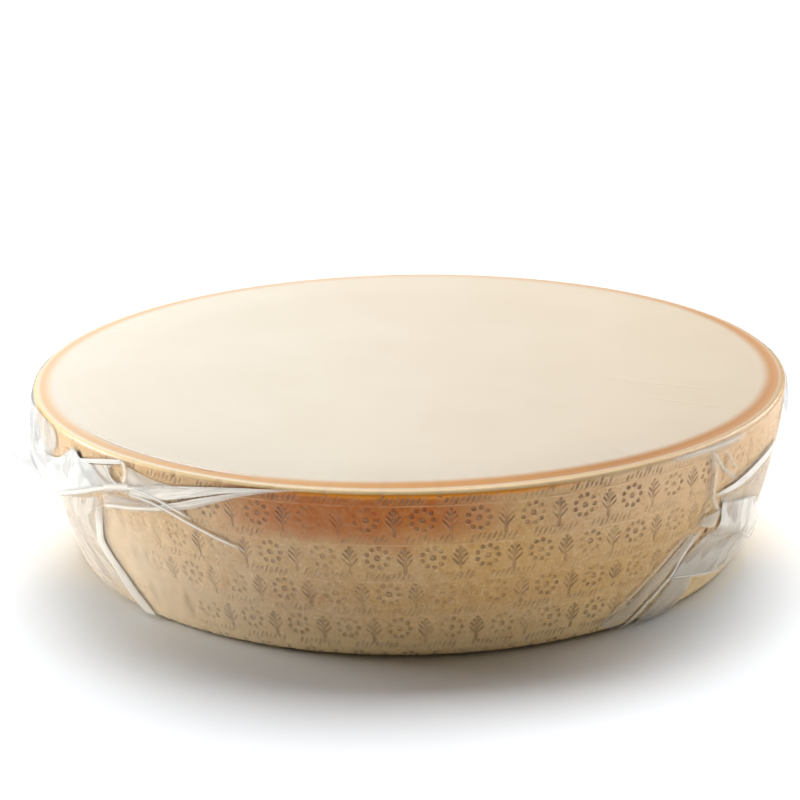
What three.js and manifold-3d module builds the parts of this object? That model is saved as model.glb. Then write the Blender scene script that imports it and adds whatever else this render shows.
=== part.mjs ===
// Half a wheel of hard grana cheese, cut level through its middle and sealed in a clear bag.
// The bag lies skin tight on the cut face and the side; its spare film is gathered into folds
// on the left and on the right, and one corner of it stands out as a thin ear.
// Millimetres, +Z up, cut face on top, the front towards -Y.
// The origin is the centre of the base, on the surface that the half wheel stands on.

import * as THREE from 'three';
import { mergeVertices } from 'three/addons/utils/BufferGeometryUtils.js';
import Module from 'manifold-3d';

// The wheel
const CUT_RADIUS = 220; // at the cut, where a whole wheel is widest
const BASE_RADIUS = 197; // where the side would meet the base without its rounding
const HEIGHT = 100; // half the height of a whole wheel
const BULGE_POWER = 1.7; // how late the side turns in towards the base
const RIM_ROUND = 3; // edge between the cut face and the side
const BASE_ROUND = 8; // edge between the side and the base
const FACETS = 120; // steps round the wheel
const SIDE_RINGS = 12; // steps up the side
const ROUND_STEPS = 4; // steps in each rounded edge

// The film's folds
const MM_PER_DEGREE = (CUT_RADIUS * Math.PI) / 180; // along the side, at the cut
const RIDGE_SIDES = 6;
const RIDGE_STEPS = 11;
const END_SWELL = 0.25; // width and lift of a ridge at its two ends, as a share of the middle's
const PANEL_COLUMNS = 12;
const PANEL_ROWS = 5;
const ROOT_DEPTH = 1.5; // how far a panel is sunk into the wheel, so that the two are one body
const CRUMPLE_LIFT = 0.7; // height of the waves over a panel
const CRUMPLE_ACROSS = 9; // waves along a panel
const CRUMPLE_DOWN = 5; // waves over its height
const EDGE_CLEARANCE = 0.8; // between the folds and the planes of the base and the cut

// Ridges: each runs through a few places on the side and swells in the middle.
// A place is an angle in degrees from the front, positive to the right, and a height.
const RIDGES = [
  // left: the gathered line, its whisker, the second fold, its upper edge and the loop between
  { path: [[-76, 48], [-66, 51], [-54, 68], [-38, 85]], width: 5, lift: 2.4 },
  { path: [[-41, 84], [-34, 80], [-23, 62]], width: 2.2, lift: 1.4 },
  { path: [[-50, 65], [-41, 72], [-32, 83], [-24, 94], [-17, 98]], width: 4, lift: 1.8 },
  { path: [[-42, 98], [-34, 92], [-29, 93], [-22, 97]], width: 4, lift: 1.4 },
  { path: [[-43, 98], [-42, 92], [-43, 85]], width: 2.4, lift: 1.6 },
  { path: [[-54, 89], [-50, 91], [-43, 98]], width: 3, lift: 1.8 },
  // left: the ribbon down to the base, the creases behind it and the bubble under the rim
  { path: [[-49, 68], [-51, 50], [-50, 32], [-45, 3]], width: 5, lift: 2.2 },
  { path: [[-64, 48], [-62, 28], [-57, 8]], width: 6, lift: 1.2 },
  { path: [[-72, 46], [-72, 26], [-67, 8]], width: 6, lift: 1.2 },
  { path: [[-84, 94], [-85, 76], [-83, 58]], width: 16, lift: 3.6 },
  // right: the tight diagonal under the rim, its short branches and the twin ridges to the base
  { path: [[82, 70], [67, 74], [58, 76], [49, 66]], width: 4, lift: 2.4 },
  { path: [[47, 91], [49, 83], [54, 76]], width: 2.6, lift: 1.4 },
  { path: [[46, 80], [47, 73], [48, 66]], width: 2.6, lift: 1.4 },
  { path: [[49, 67], [43, 52], [36, 28], [28, 4]], width: 3.6, lift: 2.0 },
  { path: [[49, 53], [44, 34], [39, 19], [33, 3]], width: 3.6, lift: 1.8 },
  { path: [[41, 24], [47, 20], [58, 9]], width: 3, lift: 2.0 },
  { path: [[49, 45], [54, 33], [60, 18]], width: 2.6, lift: 2.8 },
];

// Panels of loose film. A station is an angle, the heights of both edges and the lift there.
const PANELS = [
  // left: under the rim, between the gathered line and the loose upper edge
  [[-80, 50, 62, 3], [-74, 47, 68, 3.2], [-66, 51, 78, 2.6], [-57, 63, 89, 2.2], [-50, 73, 88, 1.6],
    [-43, 81, 84, 0.8]],
  // right: the crumpled flap beyond the twin ridges, out to its free corner
  [[41, 24, 44, 0.8], [46, 21, 58, 1.4], [51, 17, 65, 1.8], [58, 9, 59, 2.2], [64, 6, 50, 2.8],
    [74, 10, 44, 3]],
  // right: the lower flap, down to the base
  [[33, 2, 5, 0.6], [40, 3, 21, 1.1], [47, 5, 17, 1.3]],
];

// The ear: the bag's corner, a thin plate that stands out from the side
const EAR_ANGLE = -80.5;
const EAR_REACH = 19;
const EAR_TIP_HEIGHT = 60.5;
const EAR_ROOT_LOW = 44;
const EAR_ROOT_HIGH = 61.5;
const EAR_ROOT_DEPTH = 6;
const EAR_TIP_DROP = 0.8;
const EAR_THICKNESS = 1.4;
const EAR_SAG = 5; // how far the lower edge is drawn in between root and tip

const wasm = await Module();
wasm.setup();

function sideRadius(z) {
  const down = Math.max(0, (HEIGHT - z) / HEIGHT);
  return CUT_RADIUS - (CUT_RADIUS - BASE_RADIUS) * down ** BULGE_POWER;
}

// A point over the side: its place along the side in millimetres at the cut, height and lift.
function onSide(along, z, lift) {
  const angle = THREE.MathUtils.degToRad(along / MM_PER_DEGREE);
  const radius = sideRadius(z) + lift;
  return new THREE.Vector3(radius * Math.sin(angle), -radius * Math.cos(angle), z);
}

// Half the wheel's section, from the base's centre round the side to the cut's centre.
function wheelProfile() {
  const lean = Math.atan(((CUT_RADIUS - BASE_RADIUS) * BULGE_POWER) / HEIGHT);
  const sideFoot = BASE_ROUND * (1 - Math.sin(lean));
  const sideTop = HEIGHT - RIM_ROUND;
  const profile = [new THREE.Vector2(0, 0)];
  const baseCentre = sideRadius(sideFoot) - BASE_ROUND * Math.cos(lean);
  for (let i = 0; i < ROUND_STEPS; i++) {
    const turn = -Math.PI / 2 + (Math.PI / 2 - lean) * (i / ROUND_STEPS);
    const x = baseCentre + BASE_ROUND * Math.cos(turn);
    profile.push(new THREE.Vector2(x, BASE_ROUND * (1 + Math.sin(turn))));
  }
  for (let i = 0; i < SIDE_RINGS; i++) {
    const z = THREE.MathUtils.lerp(sideFoot, sideTop, i / SIDE_RINGS);
    profile.push(new THREE.Vector2(sideRadius(z), z));
  }
  for (let i = 0; i <= ROUND_STEPS; i++) {
    const turn = (Math.PI / 2) * (i / ROUND_STEPS);
    const x = CUT_RADIUS - RIM_ROUND * (1 - Math.cos(turn));
    profile.push(new THREE.Vector2(x, sideTop + RIM_ROUND * Math.sin(turn)));
  }
  profile.push(new THREE.Vector2(0, HEIGHT));
  return profile;
}

function wheelGeometry() {
  return new THREE.LatheGeometry(wheelProfile(), FACETS).rotateX(Math.PI / 2);
}

// Moves every vertex of a blank to its place on the object.
function warp(blank, place) {
  const position = blank.getAttribute('position');
  for (let i = 0; i < position.count; i++) {
    const moved = place(new THREE.Vector3().fromBufferAttribute(position, i));
    position.setXYZ(i, moved.x, moved.y, moved.z);
  }
  return blank;
}

// A blank rod laid along a curve on the side: its x runs across the ridge, its z lifts it.
function ridgeGeometry({ path, width, lift }) {
  const places = path.map(([angle, z]) => new THREE.Vector2(angle * MM_PER_DEGREE, z));
  const curve = new THREE.SplineCurve(places);
  const rod = new THREE.CylinderGeometry(1, 1, 1, RIDGE_SIDES, RIDGE_STEPS);
  return warp(rod, (point) => {
    const share = point.y + 0.5;
    const swell = THREE.MathUtils.lerp(END_SWELL, 1, Math.sin(Math.PI * share));
    const here = curve.getPoint(share);
    const heading = curve.getTangent(share);
    const shift = (point.x * swell * width) / 2;
    return onSide(here.x + heading.y * shift, here.y - heading.x * shift, point.z * lift * swell);
  });
}

// A blank slab laid over the side between two edge curves, with low waves over its outer face.
function panelGeometry(stations) {
  const edge = (height) => new THREE.CatmullRomCurve3(
    stations.map((s) => new THREE.Vector3(s[0] * MM_PER_DEGREE, s[height], s[3])),
  );
  const lowEdge = edge(1);
  const highEdge = edge(2);
  const slab = new THREE.BoxGeometry(1, 1, 1, PANEL_COLUMNS, PANEL_ROWS, 1);
  return warp(slab, (point) => {
    const share = point.x + 0.5;
    const rise = point.y + 0.5;
    const here = lowEdge.getPoint(share).lerp(highEdge.getPoint(share), rise);
    const wave = Math.sin(CRUMPLE_ACROSS * share + 2 * rise) * Math.sin(CRUMPLE_DOWN * rise + share);
    const outer = here.z + CRUMPLE_LIFT * wave;
    return onSide(here.x, here.y, point.z > 0 ? outer : -ROOT_DEPTH);
  });
}

function earGeometry() {
  const rootRadius = sideRadius(EAR_ROOT_LOW) - EAR_ROOT_DEPTH;
  const tipRadius = sideRadius(EAR_TIP_HEIGHT) + EAR_REACH;
  const middle = (rootRadius + tipRadius) / 2;
  const sagHeight = (EAR_ROOT_LOW + EAR_TIP_HEIGHT) / 2 + EAR_SAG;
  const outline = new THREE.Shape();
  outline.moveTo(rootRadius, EAR_ROOT_LOW);
  outline.quadraticCurveTo(middle, sagHeight, tipRadius, EAR_TIP_HEIGHT - EAR_TIP_DROP);
  outline.lineTo(tipRadius, EAR_TIP_HEIGHT);
  outline.lineTo(rootRadius, EAR_ROOT_HIGH);
  const plate = new THREE.ExtrudeGeometry(outline, {
    depth: EAR_THICKNESS, bevelEnabled: false, curveSegments: 6,
  });
  plate.translate(0, 0, -EAR_THICKNESS / 2);
  plate.rotateX(Math.PI / 2);
  return plate.rotateZ(THREE.MathUtils.degToRad(EAR_ANGLE - 90));
}

// The slab of space between the base and the cut, less a small clearance at each.
function foldLimits() {
  const tall = HEIGHT - 2 * EDGE_CLEARANCE;
  const block = new THREE.CylinderGeometry(2 * CUT_RADIUS, 2 * CUT_RADIUS, tall, 12);
  block.rotateX(Math.PI / 2);
  return block.translate(0, 0, HEIGHT / 2);
}

function toSolid(geometry) {
  const bare = geometry.clone();
  bare.deleteAttribute('normal');
  bare.deleteAttribute('uv');
  const merged = mergeVertices(bare);
  const mesh = new wasm.Mesh({
    numProp: 3,
    vertProperties: Float32Array.from(merged.getAttribute('position').array),
    triVerts: Uint32Array.from(merged.getIndex().array),
  });
  return new wasm.Manifold(mesh);
}

function toGeometry(solid) {
  const { vertProperties, triVerts } = solid.getMesh();
  const geometry = new THREE.BufferGeometry();
  geometry.setAttribute('position', new THREE.BufferAttribute(vertProperties, 3));
  geometry.setIndex(new THREE.BufferAttribute(triVerts, 1));
  geometry.computeVertexNormals();
  return geometry;
}

// The wheel with every fold joined to it, as one closed body.
function sealedHalfWheel() {
  const folds = [...RIDGES.map(ridgeGeometry), ...PANELS.map(panelGeometry), earGeometry()];
  const limits = toSolid(foldLimits());
  return folds
    .map(toSolid)
    .reduce((body, fold) => body.add(fold.intersect(limits)), toSolid(wheelGeometry()));
}

const object = new THREE.Group();
const wrapped = new THREE.Mesh(
  toGeometry(sealedHalfWheel()),
  new THREE.MeshStandardMaterial({ color: 0xd9bd92, roughness: 0.45, metalness: 0 }),
);
wrapped.name = 'sealed_half_wheel';
object.add(wrapped);

export default object;
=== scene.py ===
"""Dresses the sealed half wheel of hard cheese: the cheese itself, the clear film that lies skin tight
on it, the film's gathered folds on the left and on the right, and the thin ear at the bag's corner."""

import collections
import math

import bpy
import numpy as np
from mathutils import Matrix, Vector


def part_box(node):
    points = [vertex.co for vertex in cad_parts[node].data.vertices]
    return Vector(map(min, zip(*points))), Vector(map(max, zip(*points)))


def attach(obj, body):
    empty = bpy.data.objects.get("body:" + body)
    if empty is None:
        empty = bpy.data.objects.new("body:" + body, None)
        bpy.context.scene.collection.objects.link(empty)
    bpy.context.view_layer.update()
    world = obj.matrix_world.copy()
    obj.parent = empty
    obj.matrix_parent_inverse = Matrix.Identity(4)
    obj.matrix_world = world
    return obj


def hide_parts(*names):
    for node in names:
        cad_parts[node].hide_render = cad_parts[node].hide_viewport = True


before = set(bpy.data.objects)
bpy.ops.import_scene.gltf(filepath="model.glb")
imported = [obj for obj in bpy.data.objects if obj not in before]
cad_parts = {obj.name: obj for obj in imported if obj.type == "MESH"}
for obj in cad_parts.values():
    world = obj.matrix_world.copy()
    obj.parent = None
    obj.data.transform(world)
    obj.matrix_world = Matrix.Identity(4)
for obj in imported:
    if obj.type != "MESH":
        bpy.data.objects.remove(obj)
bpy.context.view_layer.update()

NODE = "sealed_half_wheel"
MM = 0.001

# ---------------------------------------------------------------- the wheel's form, in millimetres
low_corner, high_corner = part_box(NODE)
CUT_RADIUS = high_corner[1] / MM
HEIGHT = high_corner[2] / MM
BASE_RADIUS = CUT_RADIUS * 197 / 220
BULGE_POWER = 1.7
RIM_ROUND = 3.0
BASE_ROUND = 8.0
MM_PER_DEGREE = math.radians(CUT_RADIUS)
FILM_GAP = 0.45  # between the cheese and the tight film
FOLD_GAP = 0.35  # between the tight film and the loose film over it

rng = np.random.default_rng(20)


def side_radius(z):
    """Radius of the side: the cut's, less a share that grows with a power of the depth under the cut."""
    down = np.clip((HEIGHT - z) / HEIGHT, 0, 1)
    return CUT_RADIUS - (CUT_RADIUS - BASE_RADIUS) * down**BULGE_POWER


def on_side(along, z, lift):
    """Points over the side. along is measured round the cut in millimetres, from the front to the right."""
    angle = np.radians(along / MM_PER_DEGREE)
    radius = side_radius(z) + lift
    return np.stack([radius * np.sin(angle), -radius * np.cos(angle), z + 0 * angle], -1) * MM


def section(side_rows, round_steps, top_rings, base_rings, inset):
    """Half the wheel's section as radius, height and outward normal, from the base's centre to the cut's:
    a flat base, an arc, the bulged side, an arc and the flat cut, all moved inwards by inset."""
    lean = math.atan((CUT_RADIUS - BASE_RADIUS) * BULGE_POWER / HEIGHT)
    foot = BASE_ROUND * (1 - math.sin(lean))
    top = HEIGHT - RIM_ROUND
    centre = side_radius(foot) - BASE_ROUND * math.cos(lean)
    flat = np.linspace(0, 1, base_rings + 1)[:-1] * centre
    turn = np.linspace(-math.pi / 2, -lean, round_steps + 1)[:-1]
    rise = np.linspace(foot, top, side_rows + 1)[:-1]
    slope = side_radius(rise + 0.5) - side_radius(rise - 0.5)
    steep = np.hypot(slope, 1)
    roll = np.linspace(0, math.pi / 2, round_steps + 1)
    inner = (CUT_RADIUS - RIM_ROUND) * (1 - np.linspace(0, 1, top_rings + 1)[1:])
    radius = np.concatenate([flat, centre + BASE_ROUND * np.cos(turn), side_radius(rise),
                             CUT_RADIUS - RIM_ROUND * (1 - np.cos(roll)), inner])
    height = np.concatenate([0 * flat, BASE_ROUND * (1 + np.sin(turn)), rise,
                             top + RIM_ROUND * np.sin(roll), HEIGHT + 0 * inner])
    out_r = np.concatenate([0 * flat, np.cos(turn), 1 / steep, np.cos(roll), 0 * inner])
    out_z = np.concatenate([0 * flat - 1, np.sin(turn), -slope / steep, np.sin(roll), 0 * inner + 1])
    return radius - inset * out_r, height - inset * out_z, out_r, out_z


# ---------------------------------------------------------------- meshes
def add_mesh(name, points, *blocks):
    """One mesh object from points and blocks of faces, each block an array with a row for a face."""
    mesh = bpy.data.meshes.new(name)
    corners = np.concatenate([block.ravel() for block in blocks])
    sizes = np.concatenate([np.full(len(block), block.shape[1]) for block in blocks])
    mesh.vertices.add(len(points))
    mesh.vertices.foreach_set("co", np.ascontiguousarray(points, np.float32).ravel())
    mesh.loops.add(len(corners))
    mesh.loops.foreach_set("vertex_index", corners.astype(np.int32))
    mesh.polygons.add(len(sizes))
    mesh.polygons.foreach_set("loop_start", (np.cumsum(sizes) - sizes).astype(np.int32))
    mesh.polygons.foreach_set("use_smooth", np.ones(len(sizes), bool))
    mesh.update(calc_edges=True)
    mesh.validate()
    piece = bpy.data.objects.new(name, mesh)
    bpy.context.scene.collection.objects.link(piece)
    return piece


def mark(piece, name, values):
    """Writes one number for each point of a piece, for its material to read."""
    attribute = piece.data.attributes.new(name, "FLOAT", "POINT")
    attribute.data.foreach_set("value", np.ascontiguousarray(values, np.float32).ravel())


def grid_faces(rows, columns, wrap):
    """Quads between neighbouring rows and columns of a grid; with wrap the last column meets the first."""
    row = np.arange(rows - 1)[:, None] * columns
    column = np.arange(columns if wrap else columns - 1)[None, :]
    after = (column + 1) % columns
    quads = np.stack([row + column, row + after, row + columns + after, row + columns + column], -1)
    return quads.reshape(-1, 4)


def turned_body(name, columns, profile, relief):
    """A closed body of revolution: every section point goes round in equal steps and moves along its
    normal by relief, given for each row and column. Its first and last points are poles."""
    radius, height, out_r, out_z = profile
    angle = np.linspace(-math.pi, math.pi, columns, endpoint=False)[None, :]
    r = radius[1:-1, None] + relief * out_r[1:-1, None]
    z = height[1:-1, None] + relief * out_z[1:-1, None]
    rings = np.stack([r * np.sin(angle), -r * np.cos(angle), z + 0 * angle], -1).reshape(-1, 3)
    poles = np.array([[0, 0, height[0]], [0, 0, height[-1]]])
    points = np.concatenate([rings, poles]) * MM
    rows = len(radius) - 2
    first = np.arange(columns)
    after = (first + 1) % columns
    last = (rows - 1) * columns
    base_fan = np.stack([after, first, np.full(columns, rows * columns)], -1)
    top_fan = np.stack([last + first, last + after, np.full(columns, rows * columns + 1)], -1)
    return add_mesh(name, points, grid_faces(rows, columns, True), base_fan, top_fan)


# ---------------------------------------------------------------- shader graphs
class Wire:
    """One output of a shader graph. Python's operators on it add Math nodes."""

    def __init__(self, graph, socket):
        self.graph = graph
        self.socket = socket

    def maths(self, operation, *others, clamp=False):
        return self.graph.maths(operation, self, *others, clamp=clamp)

    def __add__(self, other):
        return self.maths("ADD", other)

    __radd__ = __add__

    def __mul__(self, other):
        return self.maths("MULTIPLY", other)

    __rmul__ = __mul__

    def __sub__(self, other):
        return self.maths("SUBTRACT", other)

    def __rsub__(self, other):
        return self.graph.maths("SUBTRACT", other, self)

    def __truediv__(self, other):
        return self.maths("DIVIDE", other)

    def __pow__(self, other):
        return self.maths("POWER", other)


class Graph:
    """A new material's nodes."""

    def __init__(self, name):
        self.material = bpy.data.materials.new(name)
        self.material.use_nodes = True
        self.tree = self.material.node_tree
        self.tree.nodes.clear()
        self.place = self.node("ShaderNodeTexCoord").outputs["Object"]

    def node(self, kind, settings=None, sockets=None):
        """Adds a node: its settings are made first, then its sockets get values or links."""
        made = self.tree.nodes.new(kind)
        for key, value in (settings or {}).items():
            setattr(made, key, value)
        for key, value in (sockets or {}).items():
            self.feed(made.inputs[key], value)
        return made

    def feed(self, socket, value):
        if isinstance(value, Wire):
            value = value.socket
        if isinstance(value, bpy.types.NodeSocket):
            self.tree.links.new(value, socket)
        else:
            socket.default_value = value

    def maths(self, operation, *values, clamp=False):
        settings = {"operation": operation, "use_clamp": clamp}
        return Wire(self, self.node("ShaderNodeMath", settings, dict(enumerate(values))).outputs[0])

    def axes(self, vector=None):
        parts = self.node("ShaderNodeSeparateXYZ", None, {0: vector or self.place}).outputs
        return [Wire(self, part) for part in parts]

    def vector(self, x, y, z):
        return self.node("ShaderNodeCombineXYZ", None, {0: x, 1: y, 2: z}).outputs[0]

    def noise(self, scale, detail=2.0, vector=None, rough=0.5, twist=0.0):
        """Noise about zero, roughly from -0.5 to 0.5. scale is in waves a metre."""
        sockets = {"Vector": vector or self.place, "Scale": scale, "Detail": detail,
                   "Roughness": rough, "Distortion": twist}
        return Wire(self, self.node("ShaderNodeTexNoise", None, sockets).outputs[0]) - 0.5

    def mix(self, share, first, second):
        """Colour from first to second as share goes from 0 to 1."""
        made = self.node("ShaderNodeMix", {"data_type": "RGBA"}, {"Factor": share})
        self.feed(made.inputs[6], first)
        self.feed(made.inputs[7], second)
        return made.outputs[2]

    def bump(self, height, distance, strength=1.0, normal=None):
        sockets = {"Height": height, "Distance": distance, "Strength": strength}
        if normal is not None:
            sockets["Normal"] = normal
        return self.node("ShaderNodeBump", None, sockets).outputs[0]

    def attribute(self, name):
        made = self.node("ShaderNodeAttribute", {"attribute_name": name})
        return Wire(self, made.outputs["Fac"])

    def finish(self, shader):
        self.node("ShaderNodeOutputMaterial", None, {"Surface": shader})
        return self.material


ARRAY_MATHS = {
    "ABSOLUTE": np.abs, "FLOOR": np.floor, "SINE": np.sin, "COSINE": np.cos, "SQRT": np.sqrt,
    "ARCTAN2": np.arctan2, "MINIMUM": np.minimum, "MAXIMUM": np.maximum, "FRACT": lambda v: v - np.floor(v),
}


def work(operation, *values):
    """One step of maths, on arrays for a mesh or on wires for a material."""
    wires = [value for value in values if isinstance(value, Wire)]
    if wires:
        return wires[0].graph.maths(operation, *values)
    return ARRAY_MATHS[operation](*values)


def clamped(value):
    """value kept between 0 and 1."""
    if isinstance(value, Wire):
        return value.maths("ADD", 0.0, clamp=True)
    return np.clip(value, 0, 1)


def colour(red, green, blue):
    """A display colour from 0 to 255, as the linear colour that shaders take."""
    share = np.array([red, green, blue]) / 255
    linear = np.where(share <= 0.04045, share / 12.92, ((share + 0.055) / 1.055) ** 2.4)
    return (*linear.tolist(), 1.0)


# ---------------------------------------------------------------- the rind's pressed pattern
ROW_PITCH = 21.5
ROWS_FOOT = 9.3
CELLS_ROUND = 98
CELL_PITCH = CUT_RADIUS * 2 * math.pi / CELLS_ROUND
ROW_SHIFT = 0.37
LINE = 0.55  # half the width of a pressed line
EAR_HALF = 6.6
EAR_WIDTH = 4.4
EAR_STALK = 1.6
BARB_PITCH = 3.4
BARB_SLOPE = 1.1
RING_RADIUS = 5.6
RING_DOTS = 9
DOT = 0.72
SEEDS_ROUND = 512
SEED_PITCH = CUT_RADIUS * 2 * math.pi / SEEDS_ROUND
SEED_WIDTH = 0.72
SEED_HALF = 2.4
SEED_SLANT = 0.4
SEEDS_WORD = 9
LEDGE_DROP = 0.15  # how far the ledge lies below a row of seeds, in rows
WORD_PITCH = 12


def line_mask(distance, half, soft):
    """1 on a line and 0 off it, falling over soft millimetres outside half its width."""
    return clamped((half + soft - distance) / soft)


def motif_marks(along, z, soft):
    """Ears of wheat and rings of dots that take turns round each row: an ear is a stem with slanted barbs
    on both sides inside a pointed outline, and a ring is dots in a circle round one more."""
    row = (z - ROWS_FOOT) / ROW_PITCH
    storey = work("FLOOR", row)
    y = (row - storey - 0.5) * ROW_PITCH
    cell = along / CELL_PITCH + storey * ROW_SHIFT
    number = work("FLOOR", cell)
    x = (cell - number - 0.5) * CELL_PITCH
    away = work("ABSOLUTE", x)
    outline = EAR_WIDTH * (1 - y * y / EAR_HALF**2) - away
    barb = work("ABSOLUTE", work("FRACT", (y - away * BARB_SLOPE) / BARB_PITCH) - 0.5) * BARB_PITCH
    barbs = line_mask(barb, LINE * 0.7, soft) * clamped(outline / soft)
    stem = line_mask(away, LINE * 0.8, soft)
    stem = stem * clamped((EAR_HALF + EAR_STALK - work("ABSOLUTE", y + EAR_STALK)) / soft)
    ear = work("MAXIMUM", barbs, stem)
    step = 2 * math.pi / RING_DOTS
    turn = work("FLOOR", work("ARCTAN2", y, x) / step + 0.5) * step
    off_x = x - work("COSINE", turn) * RING_RADIUS
    off_y = y - work("SINE", turn) * RING_RADIUS
    ring = line_mask(work("SQRT", off_x * off_x + off_y * off_y), DOT, soft)
    ring = work("MAXIMUM", ring, line_mask(work("SQRT", x * x + y * y), DOT * 1.5, soft))
    return ear + (ring - ear) * clamped(work("FRACT", number * 0.5) * 2)


def seed_marks(along, z, soft):
    """A row of small slanted seeds between the motif rows: thin ovals of uneven height, in groups."""
    row = (z - ROWS_FOOT) / ROW_PITCH
    line = work("FLOOR", row + 0.5)
    y = (row - line) * ROW_PITCH
    run = (along - y * SEED_SLANT) / SEED_PITCH
    number = work("FLOOR", run)
    x = (run - number - 0.5) * SEED_PITCH
    chance = work("FRACT", number * 0.618 + line * 0.37)
    tall = SEED_HALF * (0.55 + 0.45 * chance)
    lean = y - (work("FRACT", number * 0.382) - 0.5) * 1.6
    oval = work("SQRT", x * x / SEED_WIDTH**2 + lean * lean / (tall * tall))
    word = work("FRACT", (number + 0.5) / WORD_PITCH + line * ROW_SHIFT)
    return clamped((1 - oval) * SEED_WIDTH / soft + 0.5) * clamped((SEEDS_WORD / WORD_PITCH - word) * 50)


# ---------------------------------------------------------------- the cheese
CHEESE_COLUMNS = 1000
PRESS_DEPTH = 0.55
LUMP_DEPTH = 0.5


def ripples(along, z, lengths, count):
    """Smooth unevenness from -1 to 1: sine waves that close round the wheel, in seeded directions."""
    total = np.zeros(np.broadcast(along, z).shape)
    for _ in range(count):
        length = rng.uniform(*lengths)
        turns = max(1, round(2 * math.pi * CUT_RADIUS / length * rng.uniform(0.3, 1)))
        rise = rng.uniform(-1, 1) * 2 * math.pi / length
        total += np.sin(along / CUT_RADIUS * turns + z * rise + rng.uniform(0, 2 * math.pi))
    return total / count


def make_cheese():
    """The half wheel: its section turned round, pressed in by the pattern on the side, with soft lumps."""
    profile = section(side_rows=76, round_steps=4, top_rings=4, base_rings=2, inset=FILM_GAP)
    height = profile[1][1:-1, None]
    steepness = np.clip(profile[2][1:-1, None], 0, 1)
    angle = np.linspace(-math.pi, math.pi, CHEESE_COLUMNS, endpoint=False)[None, :]
    along = angle * CUT_RADIUS + 0 * height
    z = height + 0 * angle
    pressed = motif_marks(along, z, 1.5)
    lumps = ripples(along, z, lengths=(35, 110), count=9)
    relief = -steepness * (PRESS_DEPTH * pressed + LUMP_DEPTH * (0.5 + 0.5 * lumps))
    return turned_body("cheese", CHEESE_COLUMNS, profile, relief)


PASTE = colour(237, 229, 214)
# painted shade for the paste's right side, also the colour of its faint arcs
PASTE_SHADE_AND_ARCS = colour(214, 198, 175)
RING_LEFT = colour(237, 203, 164)
RING = colour(217, 159, 98)
RING_RIGHT = colour(191, 134, 78)
RING_OUTER = colour(226, 184, 146)
RING_BACK = colour(232, 206, 180)
# the rim's pale line: crust colour with a painted highlight, paler at the left and duller at the right
RIM_CRUST_AND_HIGHLIGHT = colour(236, 206, 160)
RIM_CRUST_AND_HIGHLIGHT_LEFT = colour(255, 236, 202)
RIM_CRUST_AND_HIGHLIGHT_RIGHT = colour(208, 170, 118)
# painted golden glow on the rim's round
RIM_PAINTED_GLOW = colour(255, 222, 164)
# painted amber glow just under the rim
RIM_PAINTED_AMBER_GLOW = colour(240, 148, 8)
RIND = colour(209, 172, 125)
RIND_GOLD = colour(220, 173, 105)
# painted sheen on the rind's left
RIND_PAINTED_LEFT_SHEEN = colour(218, 184, 140)
# painted light at the rind's foot and towards both sides
RIND_PAINTED_FOOT_LIGHT = colour(255, 226, 172)
# pale patches, and painted light: on the marks' lips and high on the right
RIND_PALE_AND_HIGHLIGHT = colour(252, 214, 168)
RIND_BROWN = colour(192, 99, 8)
RIND_SPECK = colour(255, 236, 204)
# painted sheen low on the left
RIND_SHEEN = colour(255, 232, 192)
# the marks' own brown, with painted shade in their grooves
MARK_BROWN_AND_SHADE = colour(118, 64, 32)
# painted shadow in small gaps of the loose film
GAP_SHADOW_BROWN = colour(92, 56, 36)
GAP_SHADOW_SPOTS = ((-53.2, 91.6), (47.9, 47.0))  # degrees from the front, and height
GAP_SHADOW_RADIUS = 1.8
RING_INNER = 9.2  # how far the ring's inner edge and the pale line's lie in from the rim
RIM_LINE = 4.0
RING_TURN = math.radians(12)
RING_LEAN = math.radians(35)


def eased(value):
    """value kept between 0 and 1, with a smooth start and end."""
    share = clamped(value)
    return share * share * (3 - 2 * share)


Spot = collections.namedtuple("Spot", "x high depth angle along turn radius east north")


def spot_on_wheel(g):
    """Where a point lies, in millimetres: its height, its depth under the cut, its angle from the front in
    radians, along the cut's edge and in degrees, its radius, and how far it faces to +X and to +Y."""
    x, y, z = g.axes()
    high = z / MM
    angle = work("ARCTAN2", x, y * -1)
    radius = work("SQRT", x * x + y * y) / MM
    return Spot(x, high, HEIGHT - high, angle, angle * CUT_RADIUS, angle * math.degrees(1), radius,
                x / (radius * MM), y / (radius * MM))


def paste_tone(g, at):
    """Pale paste, in faint clouds and arcs, with shade painted in towards the right."""
    clouds = g.noise(11, 3) * 0.3 + g.noise(42, 2) * 0.1
    paste = g.mix(clamped(0.5 + at.x * 2.5 + clouds), PASTE, PASTE_SHADE_AND_ARCS)
    arcs = g.noise(1.0, 2, vector=g.vector(at.radius * 0.22, at.angle * 0.6, 0.0))
    return g.mix(clamped(arcs * 0.3), paste, PASTE_SHADE_AND_ARCS)


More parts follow.
